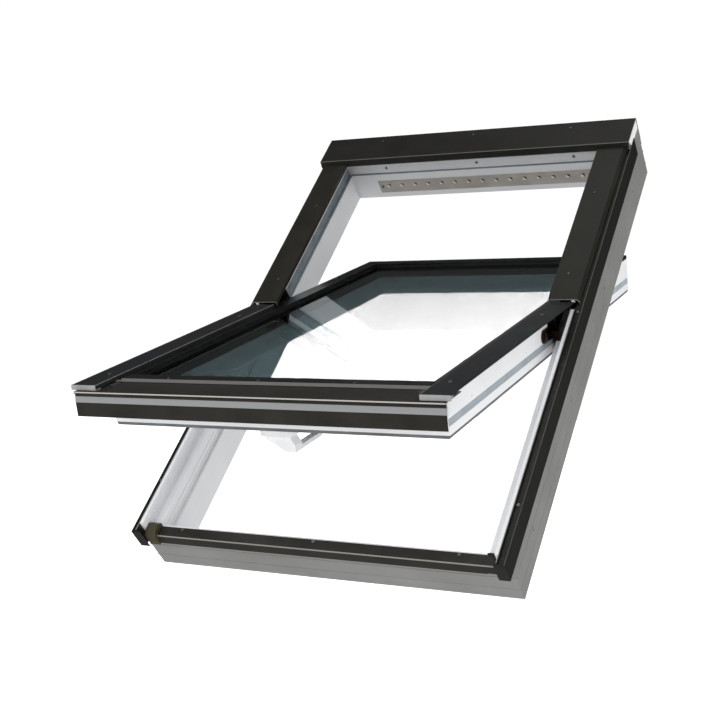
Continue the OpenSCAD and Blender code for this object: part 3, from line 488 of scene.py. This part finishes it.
# powder coat on the cast handle: smooth, clear highlights with a slight ripple
finishes["handle"] = moulded("white_powder_coated_zinc", "e8eaec", "f2f3f4", 0.30, 1.5, 1.4, 0.12)
# coated steel of the vent strip: smooth beige
finishes["vent"] = moulded("beige_coated_steel", "aaa39c", "bbb4ad", 0.42, 1.5, 2.0, 0.1)
# filter foam: rough brown pores that are seen only through the strip's openings
finishes["foam"] = moulded("brown_filter_foam", "4f3526", "7d5a42", 0.9, 1.5, 1.5, 1.0)
print(len(finishes), "finishes so far")

# %% The seal in the frame's groove
# above the hinges it is painted blue-grey, a painted shade where the groove lies in shade;
# below them it is white
tree = finishes["seal with painted shade"].node_tree
shader = next(node for node in tree.nodes if node.type == "BSDF_PRINCIPLED")
place = next(node for node in tree.nodes if node.type == "TEX_COORD").outputs["Object"]
colour = shader.inputs["Base Color"].links[0].from_socket
low_part = within(tree, millimetres(tree, place, "frame"), [{UPWARD: (-50, PIVOT_MADE.y)}])
tree.links.new(repaint(tree, low_part, colour, "e4e6e7"), shader.inputs["Base Color"])
print("the seal changes colour", PIVOT_MADE.y, "mm up the slope")

# %% [markdown]
# ### Glass
# Float glass with a tinted, heat-reflecting coat. It is solid, so light bends twice in each
# pane. The green-blue tone is in the transmitted colour, and two panes deepen it.

# %% Glass
# clear and dark at once: it takes the tone of what lies behind it and mirrors what lies above
glass, tree, shader, place = finish_start("tinted_float_glass")
shader.inputs["Base Color"].default_value = linear("bccdd0")
shader.inputs["Roughness"].default_value = 0.0
shader.inputs["IOR"].default_value = 1.52
shader.inputs["Transmission Weight"].default_value = 1.0
finishes["glass"] = glass
print("glass", [round(v, 3) for v in shader.inputs["Base Color"].default_value])

# %% [markdown]
# ### Who wears what
# A table pairs each finish with its parts. Each part could be given its finish by hand, but
# one table shows at a glance which parts are made of the same stuff. Long parts get the
# plastic whose die lines run along them.

# %% Give each part its finish
WEARS = {
    ("white", "frame", "y"): "stile_left stile_right",
    ("white", "frame", "x"): "head_member sill_member head_box",
    ("white", "sash", "y"): "sash_stile_left sash_stile_right",
    ("white", "sash", "x"): "sash_head sash_rail",
    ("grey", "frame", "y"): "liner_left liner_right",
    ("grey", "frame", "x"): "liner_head liner_sill",
    "side cover": "side_cover_left side_cover_right",
    "sill cover": "sill_cover sill_block_right",
    "wide cover": "wide_cover_left wide_cover_right",
    "hood": "hood",
    "sash cover": "sash_cover_left sash_cover_right",
    "apron": "sash_apron",
    "drip bar": "bead_bottom",
    "bead": "bead_left bead_right bead_top",
    "zinc": "frame_steel_sides frame_steel_head sash_steel_sides sash_steel_ends "
            "lock_keeper lock_bolt spindle",
    "mill": "cover_brackets",
    "bronze": "hinge_housing_left hinge_housing_right",
    "dark bronze": "hinge_arm_left hinge_arm_right",
    "stainless": "cover_screws frame_screws hinge_screws sash_screws",
    "end cap": "end_cap_left end_cap_right",
    "olive": "sill_block_left",
    "pale cap": "apron_cap_left apron_cap_right",
    "rubber": "glazing_gasket glazing_tape pane_spacer",
    "grey seal": "sash_gasket",
    "seal with painted shade": "frame_gasket",
    "white part": "cover_carriers",
    "handle": "handle_base lever",
    "vent": "vent_strip",
    "foam": "vent_filter",
    "glass": "pane_outer pane_inner",
}
for finish, names in WEARS.items():
    for name in names.split():
        mesh = parts[name].data
        mesh.materials.clear()
        mesh.materials.append(finishes[finish])
dressed = {name for names in WEARS.values() for name in names.split()}
print("dressed", len(dressed), "of", len(parts), "left", sorted(set(parts) - dressed))

# %% [markdown]
# ## Screws
# The solid model has plain screws. Real ones have a domed pan head with a cross recess. Each
# solid screw tells where its own axis, head and length are, and one small tree puts a
# head and a shank there. Heads are cold-formed, so their rim is rounded. The recess is cut
# once, with a boolean, in the one head that all screws share.


# %% Solid pieces from points
def solid(name, faces_of):
    """A mesh made by a function that fills an empty bmesh; faces are turned outwards."""
    made = bmesh.new()
    faces_of(made)
    bmesh.ops.recalc_face_normals(made, faces=made.faces)
    mesh = bpy.data.meshes.new(name)
    made.to_mesh(mesh)
    made.free()
    return mesh


def prism(outline, thick):
    """Fills a bmesh with a flat outline (x, y) that stands so thick in z; all in millimetres."""
    def fill(made):
        low = [made.verts.new((x / 1000, y / 1000, 0)) for x, y in outline]
        high = [made.verts.new((x / 1000, y / 1000, thick / 1000)) for x, y in outline]
        made.faces.new(low[::-1])
        made.faces.new(high)
        for i in range(len(low)):
            j = (i + 1) % len(low)
            made.faces.new((low[i], low[j], high[j], high[i]))
    return fill


def lathe(profile, around=28):
    """Fills a bmesh with a profile (radius, height) in millimetres turned about z."""
    def fill(made):
        rings = []
        for r, h in profile:
            turns = [2 * math.pi * k / around for k in range(around)] if r else [0]
            ring = [(r * math.cos(turn) / 1000, r * math.sin(turn) / 1000, h / 1000) for turn in turns]
            rings.append([made.verts.new(point) for point in ring])
        for a, b in zip(rings, rings[1:]):
            for k in range(around):
                m = (k + 1) % around
                corners = [a[k % len(a)], a[m % len(a)], b[m % len(b)], b[k % len(b)]]
                made.faces.new(list(dict.fromkeys(corners)))
    return fill


def kept(name, mesh):
    """An object in the scene for a mesh."""
    made = bpy.data.objects.new(name, mesh)
    scene.collection.objects.link(made)
    return made


def evaluated(thing):
    """A plain mesh of an object with its modifiers applied."""
    return bpy.data.meshes.new_from_object(thing.evaluated_get(bpy.context.evaluated_depsgraph_get()))


# %% One head and one shank
RECESS_ARM, RECESS_HALF = 2.1, 0.5
RECESS_FLOOR = 0.9
HEAD_PROFILE = [(0, 0), (3.6, 0), (3.6, 0.7), (3.35, 1.3), (2.6, 1.75), (1.4, 1.95), (0, 2.0)]
# a shank a metre long, which the tree shortens
SHANK_PROFILE = [(0, -1000), (2, -1000), (2, 0), (0, 0)]

arm = [(RECESS_HALF, RECESS_HALF), (RECESS_HALF, RECESS_ARM), (-RECESS_HALF, RECESS_ARM)]
cross = []
for quarter in range(4):
    cross += arm
    # a quarter turn takes (x, y) to (-y, x)
    arm = [(-y, x) for x, y in arm]
head_shape = kept("head_shape", solid("head_shape", lathe(HEAD_PROFILE)))
cutter = kept("cutter", solid("cutter", prism(cross, 3)))
cutter.location.z = RECESS_FLOOR / 1000
cut = head_shape.modifiers.new("recess", "BOOLEAN")
cut.object, cut.operation, cut.solver = cutter, "DIFFERENCE", "EXACT"
head_mesh = evaluated(head_shape)
head_shape.modifiers.clear()
head_shape.data = head_mesh
bpy.data.objects.remove(cutter)
shank_shape = kept("shank_shape", solid("shank_shape", lathe(SHANK_PROFILE, around=16)))
print("head has", len(head_mesh.polygons), "faces")


# %% Where the screws are
# radii in metres: the solid head's own, then what tells a head from a shank
SOLID_HEAD = 0.0036
THINNEST_SHANK = 0.0019
THICKEST_SHANK = 0.0021
HEAD_BEYOND_SHANK = 0.0017


def loose_parts(mesh):
    """The points of each separate piece of a mesh."""
    whole = bmesh.new()
    whole.from_mesh(mesh)
    bmesh.ops.remove_doubles(whole, verts=whole.verts, dist=1e-6)
    left, groups = set(whole.verts), []
    while left:
        group, edge = set(), [left.pop()]
        while edge:
            vert = edge.pop()
            group.add(vert)
            near = [e.other_vert(vert) for e in vert.link_edges if e.other_vert(vert) in left]
            left.difference_update(near)
            edge.extend(near)
        groups.append([vert.co.copy() for vert in group])
    whole.free()
    return groups


def screw_along(points, k):
    """Place, direction, head size and length of a screw along axis k, or None if it lies otherwise."""
    i, j = [n for n in range(3) if n != k]
    ci, cj = [(min(p[n] for p in points) + max(p[n] for p in points)) / 2 for n in (i, j)]
    radii = [math.hypot(p[i] - ci, p[j] - cj) for p in points]
    if min(radii) < THINNEST_SHANK or max(radii) - min(radii) > HEAD_BEYOND_SHANK:
        return None
    ends = [p[k] for p in points]
    tops = [p[k] for p, r in zip(points, radii) if r > THICKEST_SHANK]
    up = 1 if not tops or max(tops) > max(ends) - 1e-6 else -1
    start = (min(tops) if up > 0 else max(tops)) if tops else max(ends)
    long = start - min(ends) if up > 0 else max(ends) - start
    place, way = Vector((0, 0, 0)), Vector((0, 0, 0))
    place[i], place[j], place[k], way[k] = ci, cj, start, up
    return place, way, max(radii) / SOLID_HEAD if tops else 0.0, long


def screw_places(node, turn):
    """Every screw of a solid node, found on its slope's own axes and put back in the room."""
    found = []
    for group in loose_parts(parts[node].data):
        points = [turn.inverted() @ point for point in group]
        fits = [fit for fit in (screw_along(points, k) for k in range(3)) if fit]
        if not fits:
            print("odd screw in", node, len(points))
            continue
        place, way, head, long = fits[0]
        found.append((turn @ place, turn.to_3x3() @ way, head, long))
    return found


screws = {"frame": [], "sash": []}
replaced = {"frame": ["cover_screws", "frame_screws", "hinge_screws"], "sash": ["sash_screws"]}
for body, nodes in replaced.items():
    for node in nodes:
        screws[body] += screw_places(node, lies[body])
print({body: len(found) for body, found in screws.items()})


# %% Tree that places heads and shanks
def tree_with(name, inputs, output):
    """An empty Geometry Nodes tree with named inputs, its input node and its output's name."""
    tree = bpy.data.node_groups.new(name, "GeometryNodeTree")
    for title, kind in inputs.items():
        tree.interface.new_socket(title, in_out="INPUT", socket_type="NodeSocket" + kind)
    tree.interface.new_socket(output, in_out="OUTPUT", socket_type="NodeSocketGeometry")
    return tree, add(tree, "NodeGroupInput").outputs


def dressed_end(tree, instances, finish):
    """Ends a tree: instances made real, wearing a finish."""
    real = add(tree, "GeometryNodeRealizeInstances", {"Geometry": instances})
    worn = add(tree, "GeometryNodeSetMaterial", {"Geometry": real.outputs[0], "Material": finish})
    add(tree, "NodeGroupOutput", {0: worn.outputs[0]})


def screw_tree():
    """A head and a shank on every point, turned by its 'way' and sized by its 'head' and 'long'."""
    inputs = {"Points": "Geometry", "Head": "Object", "Shank": "Object",
              "Finish": "Material", "Head size": "Float"}
    tree, ins = tree_with("screws", inputs, "Screws")
    way = add(tree, "GeometryNodeInputNamedAttribute", {"Name": "way"}, data_type="FLOAT_VECTOR")
    size = add(tree, "GeometryNodeInputNamedAttribute", {"Name": "head"}, data_type="FLOAT")
    long = add(tree, "GeometryNodeInputNamedAttribute", {"Name": "long"}, data_type="FLOAT")
    turn = add(tree, "FunctionNodeAlignRotationToVector", {"Vector": way.outputs[0]}, axis="Z")
    limit = {0: size.outputs[0], 1: 0.01}
    headed = add(tree, "FunctionNodeCompare", limit, data_type="FLOAT", operation="GREATER_THAN")
    head = add(tree, "GeometryNodeObjectInfo", {"Object": ins["Head"]})
    shank = add(tree, "GeometryNodeObjectInfo", {"Object": ins["Shank"]})
    scale = add(tree, "ShaderNodeMath", {0: size.outputs[0], 1: ins["Head size"]}, operation="MULTIPLY")
    stretch = add(tree, "ShaderNodeCombineXYZ", {0: 1.0, 1: 1.0, 2: long.outputs[0]})
    here = {"Points": ins["Points"], "Rotation": turn.outputs[0]}
    heads = here | {"Instance": head.outputs["Geometry"], "Scale": scale.outputs[0]}
    shanks = here | {"Instance": shank.outputs["Geometry"], "Scale": stretch.outputs[0]}
    both = add(tree, "GeometryNodeJoinGeometry")
    for placed in (heads | {"Selection": headed.outputs[0]}, shanks):
        made = add(tree, "GeometryNodeInstanceOnPoints", placed)
        tree.links.new(made.outputs[0], both.inputs[0])
    dressed_end(tree, both.outputs[0], ins["Finish"])
    return tree


def grown(name, mesh, tree, values):
    """A plain mesh from a mesh of points, a tree and the values of its named inputs."""
    holder = kept(name + "_points", mesh)
    grow = holder.modifiers.new("grow", "NODES")
    grow.node_group = tree
    for item in tree.interface.items_tree:
        if item.in_out == "INPUT" and item.name in values:
            grow[item.identifier] = values[item.name]
    made = evaluated(holder)
    bpy.data.objects.remove(holder)
    made.name = name
    return kept(name, made)


tree = screw_tree()
values = {"Head": head_shape, "Shank": shank_shape, "Finish": finishes["stainless"], "Head size": 1.0}
for body, found in screws.items():
    places, ways, heads, lengths = zip(*found)
    points = bpy.data.meshes.new(body + "_screw_points")
    points.from_pydata(places, [], [])
    turned = points.attributes.new("way", "FLOAT_VECTOR", "POINT")
    turned.data.foreach_set("vector", [number for way in ways for number in way])
    points.attributes.new("head", "FLOAT", "POINT").data.foreach_set("value", heads)
    points.attributes.new("long", "FLOAT", "POINT").data.foreach_set("value", lengths)
    piece = grown("pan_head_screws_" + body, points, tree, values)
    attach(piece, body)
    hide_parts(*replaced[body])
    print(piece.name, len(piece.data.polygons), "faces")
bpy.data.objects.remove(head_shape)
bpy.data.objects.remove(shank_shape)

# %% [markdown]
# ## Flaps of the vent strip
# Behind every square opening of the vent strip sits a small white valve flap, moulded with
# its neighbours at one pitch. They could be copied by hand, but a tree keeps their count and
# pitch as two inputs.


# %% Row of flaps
FLAPS = 15
# metres, as for every tree
FLAP_PITCH = 0.0359
# millimetres, as for every profile
FLAP_OUTLINE = [(-4.8, -4.8), (3.2, -4.8), (-0.6, -0.4), (-4.8, 3.6)]
FLAP_THICK = 0.8
# across, up the slope and out of the roof, in metres
STRIP_MIDDLE = (0, 1.1368, 0.037)


def row_tree():
    """One piece repeated along x, with its count and pitch as named inputs."""
    inputs = {"Piece": "Object", "Count": "Int", "Pitch": "Float", "Finish": "Material"}
    tree, ins = tree_with("row", inputs, "Row")
    less = add(tree, "ShaderNodeMath", {0: ins["Count"], 1: 1.0}, operation="SUBTRACT")
    span = add(tree, "ShaderNodeMath", {0: less.outputs[0], 1: ins["Pitch"]}, operation="MULTIPLY")
    half = add(tree, "ShaderNodeMath", {0: span.outputs[0], 1: -0.5}, operation="MULTIPLY")
    first = add(tree, "ShaderNodeCombineXYZ", {0: half.outputs[0]}).outputs[0]
    step = add(tree, "ShaderNodeCombineXYZ", {0: ins["Pitch"]}).outputs[0]
    row = {"Count": ins["Count"], "Start Location": first, "Offset": step}
    line = add(tree, "GeometryNodeMeshLine", row).outputs[0]
    shape = add(tree, "GeometryNodeObjectInfo", {"Object": ins["Piece"]}).outputs["Geometry"]
    placed = add(tree, "GeometryNodeInstanceOnPoints", {"Points": line, "Instance": shape})
    dressed_end(tree, placed.outputs[0], ins["Finish"])
    return tree


flap_shape = kept("flap_shape", solid("flap_shape", prism(FLAP_OUTLINE, FLAP_THICK)))
values = {"Piece": flap_shape, "Count": FLAPS, "Pitch": FLAP_PITCH, "Finish": finishes["white part"]}
flaps = grown("vent_flaps", bpy.data.meshes.new("flap_points"), row_tree(), values)
flaps.data.transform(ROOF @ Matrix.Translation(STRIP_MIDDLE) @ Matrix.Rotation(math.radians(90), 4, "X"))
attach(flaps, "frame")
bpy.data.objects.remove(flap_shape)
print(flaps.name, len(flaps.data.polygons), "faces")

# %% [markdown]
# ## Small parts along the sash
# A pale rubber strip lies in the groove round the sash's side, moulded pads close its lower
# corners, folded clips hold the apron, and white blocks sit in the open lower ends of the
# upper covers. A curve with a bevel could make them too, but each is a straight profile of a
# few points, so it is drawn across and outwards, and runs up the slope between two heights.


# %% Profiles up the slope
def bars(*items):
    """Fills a bmesh with profiles (across, outwards) run from y0 to y1 in millimetres."""
    def fill(made):
        for outline, y0, y1 in items:
            near = [made.verts.new((x / 1000, y0 / 1000, z / 1000)) for x, z in outline]
            far = [made.verts.new((x / 1000, y1 / 1000, z / 1000)) for x, z in outline]
            made.faces.new(near)
            made.faces.new(far[::-1])
            for i in range(len(near)):
                j = (i + 1) % len(near)
                made.faces.new((near[i], far[i], far[j], near[j]))
    return fill


def both_sides(outline, y0, y1):
    """The same profile on the right and mirrored on the left."""
    return (outline, y0, y1), ([(-x, z) for x, z in outline], y0, y1)


def rect(x0, x1, z0, z1):
    """A rectangle as a profile."""
    return [(x0, z0), (x1, z0), (x1, z1), (x0, z1)]


def fitted(name, fill, finish, body):
    """A finished piece in the maker's millimetres, laid on the frame or the sash."""
    mesh = solid(name, fill)
    mesh.transform(lies[body])
    mesh.materials.append(finishes[finish])
    piece = kept(name, mesh)
    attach(piece, body)
    print(name, "on the", body, len(mesh.polygons), "faces")


print("a profile 1 mm by 2 mm:", rect(0, 1, 0, 2))

# %% Seal, pads, clips and end blocks
seal = both_sides(rect(333.1, 337.4, 66.1, 79.4), 30, 1130)
fitted("sash_side_seal", bars(*seal), "side seal", "sash")

pad = both_sides([(338, 84), (339.2, 86), (339.2, 122), (338, 123.5)], 27.5, 38)
fitted("sash_corner_pads", bars(*pad), "white part", "sash")

# a clip has a folded edge, a stud and a foot
fold = [(303, 129.35), (317, 129.35), (317, 130.6), (304.2, 130.6), (304.2, 134.5), (303, 134.5)]
stud = rect(305, 309, 130.6, 133)
foot = rect(303, 317, 129.35, 130.4)
clips = (*both_sides(fold, -2, 4), *both_sides(stud, 6, 11), *both_sides(foot, 4, 14))
fitted("apron_clips", bars(*clips), "mill", "sash")

block = both_sides(rect(366, 372, 134, 142.3), 611.6, 622)
fitted("cover_end_blocks", bars(*block), "white part", "frame")
